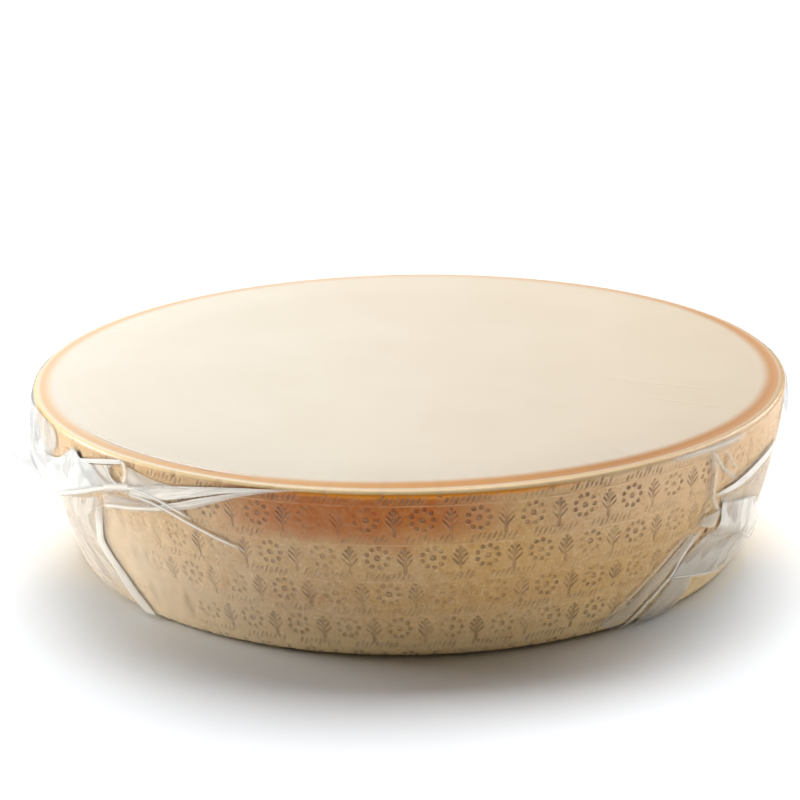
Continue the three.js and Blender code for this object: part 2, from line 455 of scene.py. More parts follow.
def cut_tone(g, at):
    """The cut face: paste, then the denser ring that grades into the rind, then the pale line at the rim, its
    crust colour with a painted highlight and a painted glow on the round. The ring is widest at the front
    right and palest at the left and at the back."""
    inward = CUT_RADIUS - at.radius
    front_right = clamped(work("COSINE", at.angle - RING_TURN)) ** 5
    wander = g.noise(9, 2) * 2.4 + g.noise(60, 2) * 1.0
    wider = front_right * 4.6 + clamped(work("COSINE", at.angle - RING_LEAN)) * 3.0
    ring_inner = RING_INNER + wider + wander
    ring_outer = RIM_LINE + front_right * 2.6 + wander * 0.3
    ring = eased((ring_inner + 3.6 - inward) / 7.4) * eased((inward - ring_outer + 1.0) / 2.4)
    tone = g.mix(clamped(at.east * -1), RING, RING_LEFT)
    tone = g.mix(clamped(at.east * 2.0), tone, RING_RIGHT)
    tone = g.mix(clamped(at.north * 1.9 - 0.85) * 0.8, tone, RING_BACK)
    tone = g.mix(clamped((11 - inward) / 7) * clamped(at.east * 2) * 0.45, tone, RING_OUTER)
    cut = g.mix(ring, paste_tone(g, at), tone)
    # the rim's crust with a painted highlight, paler at the left, a painted glow on the round's top, duller
    # at the right
    rim = g.mix(clamped(at.east * -1.3), RIM_CRUST_AND_HIGHLIGHT, RIM_CRUST_AND_HIGHLIGHT_LEFT)
    rim = g.mix(eased((2.8 - inward) / 1.6) * (1 - clamped(at.east * 1.2)), rim, RIM_PAINTED_GLOW)
    rim = g.mix(clamped(at.east * 1.6 - 0.3), rim, RIM_CRUST_AND_HIGHLIGHT_RIGHT)
    return g.mix(eased((ring_outer + 0.4 - inward) / 2.2), cut, rim)


def rind_ground(g, at, mottle):
    """The rind's tan and gold in soft patches, with painted light: a sheen on the left, lighter at the foot
    and towards both sides, and paler high on the right.
    """
    rind = g.mix(clamped(0.45 + g.noise(13, 3, twist=0.4) * 2.0), RIND, RIND_GOLD)
    # painted sheen on the left
    rind = g.mix(clamped(0.2 + at.x * -2.5 + g.noise(30, 3) * 2.0) * 0.8, rind, RIND_PAINTED_LEFT_SHEEN)
    # painted light at the foot and towards both sides
    foot = clamped(0.86 - at.high / 42) + clamped(1 - at.high / 14) * 0.4
    rind = g.mix(clamped(foot + at.x * at.x * 8), rind, RIND_PAINTED_FOOT_LIGHT)
    off_back = clamped((1 - at.north) * 2.5)
    # painted light high on the right
    high_right = clamped((at.turn - 18) / 16) * clamped((at.high - 56) / 30)
    rind = g.mix(off_back * high_right * 0.75, rind, RIND_PALE_AND_HIGHLIGHT)
    # painted sheen low on the left
    low_left = clamped((at.turn * -1 - 16) / 34) * clamped(1.5 - at.high / 50)
    rind = g.mix(off_back * low_left * 0.7, rind, RIND_SHEEN)
    rind = g.mix(clamped(mottle) * 0.5, rind, RIND_PALE_AND_HIGHLIGHT)
    rind = g.mix(clamped(mottle * -1 - 0.05) * 0.5, rind, RIND_BROWN)
    return g.mix(clamped(g.noise(600, 2) * 9 - 1.1) * 0.4, rind, RIND_SPECK)


def browned_rind(g, at, rind, mottle, amber_share):
    """The rind, browner just under the rim at the front, with a painted amber glow next to the rim and a
    painted golden glow on its round.
    """
    off_brown = (at.turn + 7) / 19
    brown_front = clamped(1.25 - off_brown * off_brown)
    browned = eased(1.15 - (at.depth - 13 - g.noise(30, 2) * 14) / (20 + g.noise(70, 3) * 22))
    browned = browned * (0.06 + brown_front * 0.9) * clamped(0.92 + mottle * 0.5)
    rind = g.mix(browned, rind, RIND_BROWN)
    # painted amber glow just under the rim, strongest at the front
    amber = eased(1 - (at.depth - 2.6 - g.noise(80, 3) * 3.6) / 2.6)
    rind = g.mix(amber * amber_share * 0.92, rind, RIM_PAINTED_AMBER_GLOW)
    # painted golden glow on the rim's round
    return g.mix(eased((2.3 - at.depth) / 1.6) * (0.75 - amber_share * 0.3), rind, RIM_PAINTED_GLOW)


def with_gap_shadows(g, at, rind):
    """The rind with small dark spots of painted shadow where gaps in the loose film lie."""
    for shadow_turn, shadow_high in GAP_SHADOW_SPOTS:
        away = work("SQRT", ((at.turn - shadow_turn) * MM_PER_DEGREE) ** 2 + (at.high - shadow_high) ** 2)
        rind = g.mix(eased(1.5 - away / GAP_SHADOW_RADIUS) * 0.9, rind, GAP_SHADOW_BROWN)
    return rind


def cheese_material():
    """Paste and ring where the wheel faces up, and rind elsewhere, with the pressed pattern worn in places:
    brown marks, darkened partly as painted shade in their grooves, each with a paler lip under it that is
    a painted highlight, and a faint ledge along every row."""
    g = Graph("cheese_paste_and_rind")
    at = spot_on_wheel(g)
    mottle = g.noise(150, 3, rough=0.6) * 1.6 + g.noise(520, 2) * 2.2
    off_amber = (at.turn - 1) / 21
    amber_share = clamped(1.3 - off_amber * off_amber)
    rind = browned_rind(g, at, rind_ground(g, at, mottle), mottle, amber_share)
    worn = eased(0.7 + g.noise(34, 3) * 2.6) * (0.35 + 0.65 * clamped(1.3 - off_amber * off_amber * 0.2))
    worn = worn * eased(0.75 + g.noise(210, 2) * 2.0)
    below = clamped((at.depth - 1.6) / 1.5)
    marks = work("MAXIMUM", motif_marks(at.along, at.high, 0.7), seed_marks(at.along, at.high, 0.5) * 0.8)
    marks = marks * worn * below
    lip = work("MAXIMUM", motif_marks(at.along + 0.25, at.high + 0.75, 0.7),
               seed_marks(at.along, at.high + 0.6, 0.5))
    # painted highlight on the paler lip under each mark
    rind = g.mix(lip * worn * below * 0.34, rind, RIND_PALE_AND_HIGHLIGHT)
    # the marks' brown, partly painted shade in their grooves
    rind = g.mix(marks * (0.38 + clamped((at.high - 45) / 50) * 0.32), rind, MARK_BROWN_AND_SHADE)
    row = (at.high - ROWS_FOOT) / ROW_PITCH
    ledge = work("ABSOLUTE", work("FRACT", row + LEDGE_DROP + 0.5) - 0.5) * ROW_PITCH
    ledge = eased(1.4 - ledge / 0.5) * clamped(0.6 + g.noise(70, 2) * 3)
    rind = with_gap_shadows(g, at, g.mix(ledge * 0.3, rind, RIND_PALE_AND_HIGHLIGHT))
    # the rim's round lies between the cut face, which looks up, and the side
    facing = g.axes(g.node("ShaderNodeNewGeometry").outputs["Normal"])[2]
    on_cut = clamped((facing - 0.36) * 4) * clamped(at.high - HEIGHT * 0.5)
    tone = g.mix(on_cut, rind, cut_tone(g, at))
    step = work("FRACT", row + g.noise(8, 1) * 0.1)
    grain = g.noise(900, 3, rough=0.65) * 0.22 + g.noise(240, 3) * 0.5 - marks * 0.9 + lip * 0.2
    grain = grain + eased(step * 12) * eased((1 - step) * 2.5) * 0.25 + ledge * 0.25
    cut_grain = g.noise(110, 4, rough=0.6) * 0.08 + g.noise(30, 2) * 0.1
    normal = g.bump(grain * (1 - on_cut) + cut_grain * on_cut, MM, 1.0)
    sockets = {"Base Color": tone, "Roughness": 0.6 + g.noise(300, 2) * 0.15, "Normal": normal}
    surface = g.node("ShaderNodeBsdfPrincipled", None, sockets)
    surface.inputs["Specular IOR Level"].default_value = 0.2
    return g.finish(surface.outputs[0])


# ---------------------------------------------------------------- the tight film
SKIN_COLUMNS = 600
SKIN_SAG = 0.1


def make_skin():
    """The tight film: the same section a little outside the cheese, with shallow sags and tension lines."""
    profile = section(side_rows=40, round_steps=5, top_rings=10, base_rings=2, inset=0.0)
    height = profile[1][1:-1, None]
    steepness = np.clip(profile[2][1:-1, None], 0, 1)
    angle = np.linspace(-math.pi, math.pi, SKIN_COLUMNS, endpoint=False)[None, :]
    sag = ripples(angle * CUT_RADIUS + 0 * height, height + 0 * angle, lengths=(30, 90), count=8)
    return turned_body("film_skin", SKIN_COLUMNS, profile, -SKIN_SAG * steepness * (1 + sag))


FILM_COOL = (0.70, 0.70, 0.665, 1)
# colour of the painted sheen on the side
FILM_SHEEN = (0.97, 0.86, 0.68, 1)
FILM_WARM = (0.97, 0.90, 0.79, 1)
FILM_GREY = (0.32, 0.33, 0.33, 1)
# painted shade of a fold
FILM_FOLD_SHADE = (0.20, 0.10, 0.045, 1)
FILM_WHITE = (0.98, 0.94, 0.87, 1)
CLEAR_ROUGH = 0.2
HAZE_ROUGH = 0.35
MOST_SHINE = 0.4  # the most that clear film shines, which it does at its edge
PEARL = 0.12  # the share of the haze that shines like mother of pearl
SIDE_LEAN = -0.12


def side_normal(g, share):
    """The piece's own normal, turned by a share towards the smooth side's, which leans a little down."""
    x, y, _ = g.axes()
    radius = work("SQRT", x * x + y * y)
    smooth = g.vector(x / radius, y / radius, SIDE_LEAN)
    own = g.node("ShaderNodeNewGeometry").outputs["Normal"]
    both = g.node("ShaderNodeMix", {"data_type": "VECTOR"}, {"Factor": share})
    g.feed(both.inputs[4], own)
    g.feed(both.inputs[5], smooth)
    return g.node("ShaderNodeVectorMath", {"operation": "NORMALIZE"}, {0: both.outputs[1]}).outputs[0]


def film_shader(g, haze, gloss, normal, white):
    """Clear film that shines by its angle, turning to pale pearly haze where it is creased. The shine is
    worked out from the angle alone, so that light leaves through the film as easily as it enters."""
    facing = g.node("ShaderNodeLayerWeight", None, {"Blend": 0.5, "Normal": normal}).outputs["Facing"]
    fresnel = Wire(g, facing) ** 5 * 0.96 + 0.04
    clear = g.node("ShaderNodeBsdfTransparent")
    shine = g.node("ShaderNodeBsdfGlossy", None, {"Roughness": CLEAR_ROUGH, "Normal": normal})
    skin = g.node("ShaderNodeMixShader", None, {0: work("MINIMUM", fresnel * gloss, MOST_SHINE)})
    g.feed(skin.inputs[1], clear.outputs[0])
    g.feed(skin.inputs[2], shine.outputs[0])
    sockets = {"Base Color": white, "Metallic": PEARL, "Roughness": HAZE_ROUGH, "Normal": normal}
    pale = g.node("ShaderNodeBsdfPrincipled", None, sockets)
    both = g.node("ShaderNodeMixShader", None, {0: haze})
    g.feed(both.inputs[1], skin.outputs[0])
    g.feed(both.inputs[2], pale.outputs[0])
    return both.outputs[0]


FOLD_RADIUS = CUT_RADIUS - 11.2
FOLD_HALF = 2.0
CUT_STREAKS = (((103, -32), (173, -61)), ((123, -69), (176, -95)), ((203, 6), (200, -31)))


def streak(x, y, start, end):
    """1 along a straight line between two places and 0 beyond a millimetre from it, fading at its ends."""
    run = math.dist(start, end)
    ahead = ((end[0] - start[0]) / run, (end[1] - start[1]) / run)
    along = (x - start[0]) * ahead[0] + (y - start[1]) * ahead[1]
    aside = (x - start[0]) * ahead[1] - (y - start[1]) * ahead[0]
    return eased(1 - work("ABSOLUTE", aside) / 1.1) * eased(along / 12) * eased((run - along) / 12)


def skin_material():
    """Clear film with a sheen painted low on the left as pale haze, and a faint bloom, a fold pressed flat on
    the cut at the front left, and thin streaks on the cut at the right. It shines more on the rim's round."""
    g = Graph("tight_film")
    at = spot_on_wheel(g)
    side = clamped((at.high - 2) / 3) * clamped((at.depth - 3) / 2)
    taut = g.noise(42, 2)
    fine = g.noise(260, 2, rough=0.7)
    patches = g.noise(23, 2)
    normal = g.bump((taut * 0.9 + fine * 0.12) * (0.15 + side * 0.85), MM, 0.8)
    left = clamped((at.turn * -1 - 2) / 44) * clamped((180 + at.turn) / 60)
    # painted sheen: pale haze low on the left
    sheen = left * clamped(1.35 - at.high / 80) * 0.5 * side
    fold_radius = FOLD_RADIUS + (at.turn + 40) * 0.03
    fold = eased(1 - work("ABSOLUTE", at.radius - fold_radius) / FOLD_HALF)
    fold = fold * eased((at.turn + 60) / 10) * eased((-19 - at.turn) / 9)
    fold = fold * clamped(0.9 + g.noise(60, 2) * 1.2)
    streaks = clamped(patches * 0.05) * side
    for start, end in CUT_STREAKS:
        streaks = streaks + streak(at.x / MM, at.north * at.radius, start, end) * (1 - side) * 0.14
    haze = clamped(sheen * (0.8 + patches * 1.2) + streaks + fold * 0.75 * (1 - side))
    rim_gloss = clamped((at.radius - CUT_RADIUS + 4.5) / 1.2) * clamped((5 - at.depth) / 2)
    white = g.mix(side, FILM_WHITE, FILM_SHEEN)
    return g.finish(film_shader(g, haze, 0.25 + rim_gloss * 0.4, normal, white))


# ---------------------------------------------------------------- the loose film
# A sheet of loose film hangs between two edges, each a curve through places on the side: degrees from the
# front, height, and how far it stands off there. lift is how far its middle stands off besides, veil its
# whiteness, edges how brightly each edge ends, in a bright line painted partly as the edge's highlight,
# cells how crumpled it is, streaks how streaky, fade the way over which it thins out at the start and the end
# of its run, and tone its colour from cool white (0) through warm white (1) and grey (2) to brown (3), the
# painted shade of a fold.
Sheet = collections.namedtuple("Sheet", "first second lift veil edges cells streaks fade tone")
# A strand is a narrow pleat along one curve, of a given half width.
Strand = collections.namedtuple("Strand", "path width lift veil tone")

# where each pocket stands off most
LEFT_POCKET = [(-78, 96, 0.3), (-78, 89.6, 1.6), (-78, 82.4, 3.4), (-78, 75.2, 4.6), (-78, 69.8, 5.8),
               (-77.5, 65.3, 4)]
RIGHT_POCKET = [(79, 97, 0.3), (79, 90, 1.5), (79, 84, 2.2), (79, 79, 1.1)]
LEFT_FILM = [
    # the pocket that stands off at the far left, in two halves
    Sheet([(-98, 98), (-98, 93), (-98, 86), (-96, 78), (-92, 70), (-86, 64)],
          LEFT_POCKET, 0.0, 0.55, (0.0, 0.5), 0.5, 0.3, (3, 2), 1.9),
    Sheet([(-95, 98), (-108, 97), (-124, 96), (-140, 96)], [(-84, 64), (-102, 67), (-121, 76), (-140, 88)],
          0.3, 0.42, (0.3, 0.0), 0.6, 0.5, (12, 130), 1.6),
    Sheet(LEFT_POCKET, [(-70.8, 99.4), (-66.5, 99.2), (-61.5, 98.4), (-60.3, 93), (-61.4, 86), (-65, 79.5)],
          0.2, 0.34, (0.2, 0.0), 0.6, 0.9, (3, 5), 1.25),
    Strand([(-79, 95, 0.4), (-79, 89.6, 1.6), (-79, 82.4, 3.4), (-79, 75.2, 4.6), (-78.5, 69.8, 5.8),
            (-77, 65.3, 4.2), (-73, 63, 1.5)], 5.0, 0.0, 0.7, 2.1),
    # streaky film between the pocket's foot and the ribbon
    Sheet([(-68, 50), (-70, 40), (-69, 25), (-64, 10), (-57, 1)],
          [(-49.7, 71), (-50.5, 56), (-52.5, 38), (-51, 22), (-46.5, 2)], 0.5, 0.36, (0.6, 0.0), 0.6, 0.7,
          (3, 22), 1.0),
    # thin film that runs on from the loop under the rim
    Sheet([(-41.3, 96), (-38.8, 94), (-36.1, 92.5), (-33.2, 92), (-29, 93.4)],
          [(-42, 83), (-39.2, 85), (-36.3, 87), (-33.3, 89.4), (-29, 92)], 0.3, 0.4, (0.5, 0.0), 0.4, 0.8,
          (2, 5), 1.0),
    # the cream band that runs along the rim, the shaded film under it, and the fold along its foot
    Sheet([(-41.6, 84.5), (-37.2, 88.5), (-32.7, 92), (-28.6, 94.5), (-24.7, 96.4), (-21.1, 97.8),
           (-14, 99.4)],
          [(-42, 78.4), (-38.5, 79.8), (-35.7, 81.7), (-32.9, 84.4), (-28.7, 89), (-24, 93.7), (-14, 98.6)],
          0.4, 0.86, (0.8, 0.1), 0.2, 0.5, (4, 14), 1.0),
    Sheet([(-48.1, 76), (-44.9, 77.5), (-41.5, 79), (-38.6, 79.6), (-35.8, 79.8)],
          [(-48.3, 67.3), (-45.4, 70.1), (-41.9, 72.6), (-38.8, 75), (-35.9, 77.2)],
          0.3, 0.4, (0.1, 0.1), 0.6, 0.6, (3, 3), 1.2),
    # a brown strand: painted shade of a fold along the shaded film
    Strand([(-47, 72.5), (-43.5, 75.5), (-40, 77.3), (-37, 79), (-34, 80.8), (-31.5, 86), (-28.7, 90),
            (-25, 93.8)], 1.6, 0.1, 0.4, 2.8),
    Strand([(-48.9, 66.4), (-45.4, 69.7), (-42, 72), (-37.8, 75.4), (-34, 78.6)], 2.2, 0.4, 0.85, 1.0),
    Sheet([(-36.5, 78.6), (-32.1, 83.9), (-29.5, 87.4), (-26.3, 91.1), (-22.6, 94.8), (-18, 98)],
          [(-36.5, 75.8), (-32.3, 79.2), (-29.7, 82.2), (-26.4, 87.2), (-22.6, 92.6), (-18, 97)],
          0.4, 0.74, (0.8, 0.4), 0.2, 0.5, (5, 10), 1.0),
    # the fan of folds between the panel and the loop
    Sheet([(-52.4, 87.6), (-50.8, 82.5), (-48.4, 77.8)], [(-44.6, 94.2), (-45.5, 88), (-44.8, 83)],
          0.4, 0.55, (0.1, 0.3), 0.3, 1.3, (1.5, 1.5), 1.0),
    Strand([(-48.9, 87.1), (-47.9, 83.6), (-46.5, 80.4)], 1.3, 0.3, 0.7, 0.6),
    Strand([(-47, 90.8), (-46.1, 86.6), (-45, 82.5)], 1.2, 0.3, 0.7, 0.6),
    # the ribbon down to the foot
    Sheet([(-50.5, 71), (-51.6, 57.7), (-53, 46.6), (-53.8, 39.3), (-53, 32), (-51.6, 25), (-50.4, 16.3),
           (-48.9, 8.5), (-47.1, 1.2)],
          [(-48.6, 71), (-49.5, 59.8), (-50.6, 49.5), (-51.2, 42.5), (-50, 33.9), (-48.3, 26.1),
           (-46.6, 16.4), (-45.3, 10), (-44, 2.6)], 0.5, 0.78, (0.2, 0.6), 0.1, 0.4, (16, 2), 0.85),
    # a brown strand: painted shade beside the ribbon
    Strand([(-48.4, 72), (-48.4, 66), (-48.8, 60), (-49.4, 53), (-49.8, 45), (-48.6, 35), (-47, 26)],
           1.5, 0.0, 0.32, 2.7),
    # the ear that sticks out, and the panel that it runs out from
    Sheet([(-64, 56), (-71, 46.5, 0.3), (-76, 43.8, 2.9), (-77, 49.3, 6), (-78, 54.6, 9.9), (-79, 57.7, 15.2),
           (-80, 61.1, 20.5)],
          [(-62, 84), (-70, 80, 1.0), (-77, 70, 5), (-78, 64.4, 8), (-79, 62, 14.2), (-79.6, 61.8, 17.5),
           (-80, 61.9, 20.7)], 0.2, 0.46, (0.9, 0.6), 0.5, 0.1, (12, 0.5), 1.6),
    Sheet([(-47.2, 79.4), (-50.6, 74.6), (-54.7, 69), (-59, 63.4), (-63.2, 57.4), (-69, 49.5),
           (-74, 44, 1.5)],
          [(-49.3, 89.5), (-52, 89.6), (-53.5, 92), (-55, 92.7), (-57.4, 87.2), (-61.2, 80.8), (-67, 75.5),
           (-74, 68, 2)], 0.6, 0.86, (0.5, 0.8), 0.3, 0.12, (3, 16), 0.15),
    Strand([(-58, 85.6), (-56.4, 88.6), (-54.7, 92.6), (-53.6, 92.6), (-52.9, 89.6)], 1.5, 0.3, 0.8, 0.3),
    # a brown strand: painted shade in the V between the panel and the fan
    Strand([(-51.6, 79.5), (-49.6, 80.4), (-47.7, 79)], 1.8, 0.1, 0.5, 2.7),
    # the bright bar, the loop and the strands that meet in the knot
    Sheet([(-53, 89.6), (-49.6, 92.8), (-45.8, 96.4), (-42.2, 99.2)],
          [(-52.8, 87.4), (-49.2, 90.6), (-45.4, 93.9), (-42, 97)], 0.5, 0.95, (1.0, 0.7), 0.05, 0.1,
          (1, 4), 0.5),
    Strand([(-42.4, 99), (-41.8, 95.6), (-41.8, 90.4), (-42.6, 85.3)], 2.5, 0.35, 0.85, 0.8),
    Strand([(-45.6, 93.5), (-45.5, 89.4), (-45, 86), (-44, 83.8), (-42.6, 83.4)], 1.7, 0.4, 0.9, 0.4),
    Strand([(-70, 47), (-64, 56), (-58.8, 62.8), (-52.7, 71.1), (-48.2, 77.3), (-44.4, 81.4), (-41.1, 84.2),
            (-37.1, 87.4)], 2.5, 0.3, 0.95, 0.8),
    Strand([(-42.5, 83.9), (-38.9, 83.9), (-36.8, 82.6), (-34.7, 80.6), (-32.9, 78.4), (-30.6, 75.3)],
           1.8, 0.12, 0.8, 0.8),
    Strand([(-43, 80.6), (-38.2, 79.7), (-35, 77.5), (-31.8, 73.5), (-28.7, 69.5), (-26, 66.1),
            (-22.8, 62.5)], 1.7, 0.12, 0.8, 0.8),
    Strand([(-47.6, 78.6), (-44.3, 82.3), (-41, 85)], 3.6, 0.3, 0.9, 0.9),
]
RIGHT_FILM = [
    # the edge that stands off at the far right, in two halves
    Sheet([(98, 98), (98, 92), (96, 86), (92, 79)], RIGHT_POCKET,
          0.0, 0.35, (0, 0.6), 0.3, 0.3, (3, 3), 2.0),
    Sheet([(95, 98), (108, 97), (124, 96), (140, 96)], [(91, 79), (106, 80), (123, 85), (140, 92)],
          0.3, 0.3, (0.3, 0.0), 0.6, 0.5, (12, 130), 1.6),
    Sheet(RIGHT_POCKET, [(72, 98), (71, 92), (71, 86), (72, 78)],
          0.0, 0.22, (0.6, 0.0), 0.3, 0.6, (3, 3), 1.7),
    # thin folds under the rim
    Strand([(37, 98.8), (41.9, 98.4), (44.7, 97.7), (47.5, 97.2), (54, 96.6)], 3.4, 0.05, 0.55, 0.6),
    Strand([(45.2, 96), (47, 89.4), (48.8, 82.3), (52.6, 72.9)], 2.2, 0.25, 0.42, 1.2),
    Strand([(48.4, 94), (50.8, 84.7), (52.8, 78)], 1.7, 0.1, 0.22, 1.2),
    Strand([(45.2, 94), (46.6, 85.3), (46.9, 78.1), (47, 71), (47.7, 64.4), (49.8, 56)], 2.6, 0.3, 0.42, 1.0),
    # a brown strand: painted shade beside the fold under the rim
    Strand([(44.6, 94), (45.3, 88), (45.7, 79), (46, 70), (45.6, 64), (45, 57), (43.6, 51)], 2.0, 0.0, 0.42,
           3.0),
    # see-through film under the slanted fold
    Sheet([(68.6, 70), (64.4, 68.4), (60, 67.4), (56.5, 65.8), (53, 65.6), (49, 66)],
          [(76, 40, 1.7), (73, 37, 1.2), (66.5, 40), (62, 43), (56, 53), (50.5, 57)],
          0.2, 0.2, (0.2, 0.1), 0.5, 0.4, (2, 1), 1.2),
    # the fold that runs down to the foot, with a bright line down its right
    Sheet([(43.5, 51.3), (41.6, 43.8), (39.1, 36), (36.8, 28.6), (34.6, 20.8), (32.2, 14.8), (28.5, 7)],
          [(45.3, 47), (43.5, 39.3), (41.4, 30.9), (39.4, 22.6), (37, 15.1), (35, 8), (32, 2)],
          0.5, 0.3, (0.3, 0.3), 0.1, 0.15, (3, 2), 1.0),
    Strand([(42.9, 51), (40.6, 44.6), (38.2, 36.8), (35.2, 26.2), (32.2, 17.1), (28.7, 8)], 1.8, 0.2, 0.4,
           1.0),
    # a brown strand: painted shade along the fold to the foot
    Strand([(43.8, 49.5), (41.6, 41.3), (39.2, 32.5), (36.8, 24.2), (34.4, 16), (32, 9)], 1.5, 0.0, 0.45,
           3.0),
    Strand([(46, 50), (43.9, 43.2), (42.5, 35.7), (41.6, 27.7), (39.6, 19.8), (37.3, 12.1), (35.4, 5),
            (33, 0.8)], 2.2, 0.4, 0.95, 0.7),
    # grey see-through film between the folds, and the film below the crease
    Sheet([(48.8, 47), (45.6, 42), (43.4, 36), (42.2, 30), (41.3, 25.5)],
          [(72, 22, 2.0), (71.5, 12, 1.6), (64, 9.4, 0.4), (59.6, 9.6), (56.8, 10.6)],
          0.4, 0.5, (0.1, 0.2), 0.5, 0.1, (9, 1), 1.3),
    Sheet([(41.9, 24.5), (40.7, 19.1), (39.4, 13.5), (37.9, 8.1), (36, 2)],
          [(47.1, 19.4), (47.4, 12.3), (46.7, 6.6), (44.7, 3.2), (41, 0.8)],
          0.3, 0.42, (0.1, 0.8), 0.3, 0.2, (1, 1), 1.05),
    Sheet([(45.5, 58), (44.6, 53)], [(50.2, 58.5), (49.4, 46.5)], 0.4, 0.42, (0.4, 0.2), 0.3, 0.3, (1, 1),
          1.3),
    # the crumpled flap
    Sheet([(50, 62), (50.2, 56), (50.8, 51), (50.6, 46.4), (49.7, 43.6)],
          [(62.6, 51, 0.4), (66.5, 39.5, 0.4), (74, 22, 2.0), (74, 13.5, 2.6), (73, 8, 1.8)],
          0.5, 0.7, (0.7, 0.5), 0.8, 0.1, (1.5, 7), 1.15),
    Strand([(49.7, 44), (53.7, 33), (60.5, 19)], 1.6, 0.2, 0.42, 0.8),
    Strand([(50.8, 61), (51.8, 54), (52.2, 45)], 3.0, 0.2, 0.4, 0.8),
    # the bright slanted fold
    Sheet([(69.5, 76), (65.6, 75.4), (61.9, 74.6), (58.1, 73.1), (54.9, 71.4), (52.3, 70.1), (49.6, 69.7),
           (47.2, 68.5)],
          [(70.5, 72), (67.4, 71), (64.3, 69.6), (60.3, 68), (56.9, 66.2), (53.7, 65.6), (50.8, 66),
           (48, 66.8)], 0.4, 0.88, (1.0, 0.1), 0.1, 0.2, (1, 12), 0.75),
    # a brown strand: painted shade above the bright slanted fold
    Strand([(67, 76.5), (63.5, 75.9), (59.5, 75.4), (56, 74.4), (53.3, 73.2), (50.8, 71.8)], 1.6, 0.0, 0.4,
           3.0),
    # the crease across the foot, and the gathers along it
    Strand([(40.9, 26), (44.2, 23.1), (48, 19.4), (53.2, 14.5), (58.5, 10.2)], 1.8, 0.6, 0.8, 0.7),
    Strand([(35, 1.6), (38.4, 1.4), (41.1, 1.8), (44, 2.6)], 2.0, 0.4, 0.4, 1.2),
]
FILM_STEP = 0.68
LAYER_GAP = 0.03
EDGE_FADE = 2.4
EDGE_HIGHLIGHT_WIDTH = 0.8
LOWEST = 0.4  # how far the loose film keeps from the floor and from the cut
TONE_CELL = 7.0  # how wide a cell of even whiteness is, and how wide a dent
DENT_CELL = 9.0
DENT_DEPTH = 1.4
CELL_LINE = 0.8
STRAND_STREAKS = 0.15
STRAND_POINTS = 13
LAYER_SHIFT = 40.0  # moves the streaks of each layer away from those of the last


def spline(points, share):
    """A smooth curve through points: each stretch is a cubic whose ends head along their neighbours."""
    p = np.array(points, float)
    t = share * (len(p) - 1)
    i = np.minimum(t.astype(int), len(p) - 2)
    w = (t - i)[:, None]
    before, here, there = p[np.maximum(i - 1, 0)], p[i], p[i + 1]
    beyond = p[np.minimum(i + 2, len(p) - 1)]
    leave, arrive = (there - before) / 2, (beyond - here) / 2
    return ((2 * here - 2 * there + leave + arrive) * w**3
            + (3 * there - 3 * here - 2 * leave - arrive) * w**2 + leave * w + here)


def flat_places(places):
    """Places on the side, from degrees, height and stand-off to millimetres along, height and stand-off."""
    return [(place[0] * MM_PER_DEGREE, place[1], place[2] if len(place) > 2 else 0.0) for place in places]


def facets(u, v, cell, soft, seed):
    """Crumpled film falls into cells round random seeds. Gives each place the random tone of its cell,
    blended over soft millimetres where cells meet, and how near it is to where they meet."""
    made = np.random.default_rng(seed)
    span = np.array([np.ptp(u), np.ptp(v)]) + 1
    count = int(np.clip(span[0] * span[1] / cell**2, 5, 60))
    seeds = np.array([u.min(), v.min()]) + span * made.random((count, 2))
    away = np.hypot(u[..., None] - seeds[:, 0], v[..., None] - seeds[:, 1])
    near = np.sort(away, -1)
    weight = np.exp(-(away - near[..., :1]) / soft)
    tone = (weight * made.random(count)).sum(-1) / weight.sum(-1)
    return tone, np.exp(-(near[..., 1] - near[..., 0]) / CELL_LINE)


def edge_look(gap, shine):
    """What an edge does to a sheet's whiteness: the share left where it fades out, and its bright line,
    painted partly as the edge's highlight.
    """
    return shine + (1 - shine) * np.clip(gap / EDGE_FADE, 0, 1), shine * np.exp(-(gap / EDGE_HIGHLIGHT_WIDTH) ** 2)


def sheet_surface(sheet, layer, seed):
    """A ruled surface between both edges. It arches across by its lift, sinks at both ends of its run, and
    is dented in cells; its whiteness follows the cells and the lines between them."""
    first, second = flat_places(sheet.first), flat_places(sheet.second)
    length = np.hypot(*np.diff(np.array(first)[:, :2], axis=0).T).sum()
    run = np.linspace(0, 1, int(length / FILM_STEP) + 8)
    one, two = spline(first, run), spline(second, run)
    width = np.hypot(*(two - one)[:, :2].T)[:, None]
    across = np.linspace(0, 1, int(width.max() / FILM_STEP) + 8)[None, :]
    along, z, off = ((one[:, [i]] + (two - one)[:, [i]] * across) for i in range(3))
    run = run[:, None] + 0 * across
    gap = across * width
    stretch = 1.1 + 1.3 * min(sheet.streaks, 1)
    tone, border = facets(run * length / stretch, gap, TONE_CELL, 0.5, seed)
    dent, _ = facets(run * length / stretch, gap, DENT_CELL, 1.6, seed + 1)
    arch = np.sin(math.pi * across) ** 0.7
    ends = np.clip(np.sin(math.pi * run) * 2.5, 0, 1)
    arch = (sheet.lift + sheet.cells * DENT_DEPTH * dent) * arch * ends
    lift = FOLD_GAP + LAYER_GAP * layer + off + arch
    left_one, edge_highlight_one = edge_look(gap, sheet.edges[0])
    left_two, edge_highlight_two = edge_look(width - gap, sheet.edges[1])
    haze = sheet.veil * (1 + sheet.cells * (tone - 0.5) * 1.5) + sheet.cells * border * 0.16
    # a bright line at each edge, painted partly as its highlight
    haze = haze * left_one * left_two + (edge_highlight_one + edge_highlight_two) * 0.45
    haze = haze * np.clip(run * length / sheet.fade[0], 0, 1)
    haze = haze * np.clip((1 - run) * length / sheet.fade[1], 0, 1)
    return along, z, lift, haze, run * length, gap, sheet.tone, sheet.streaks


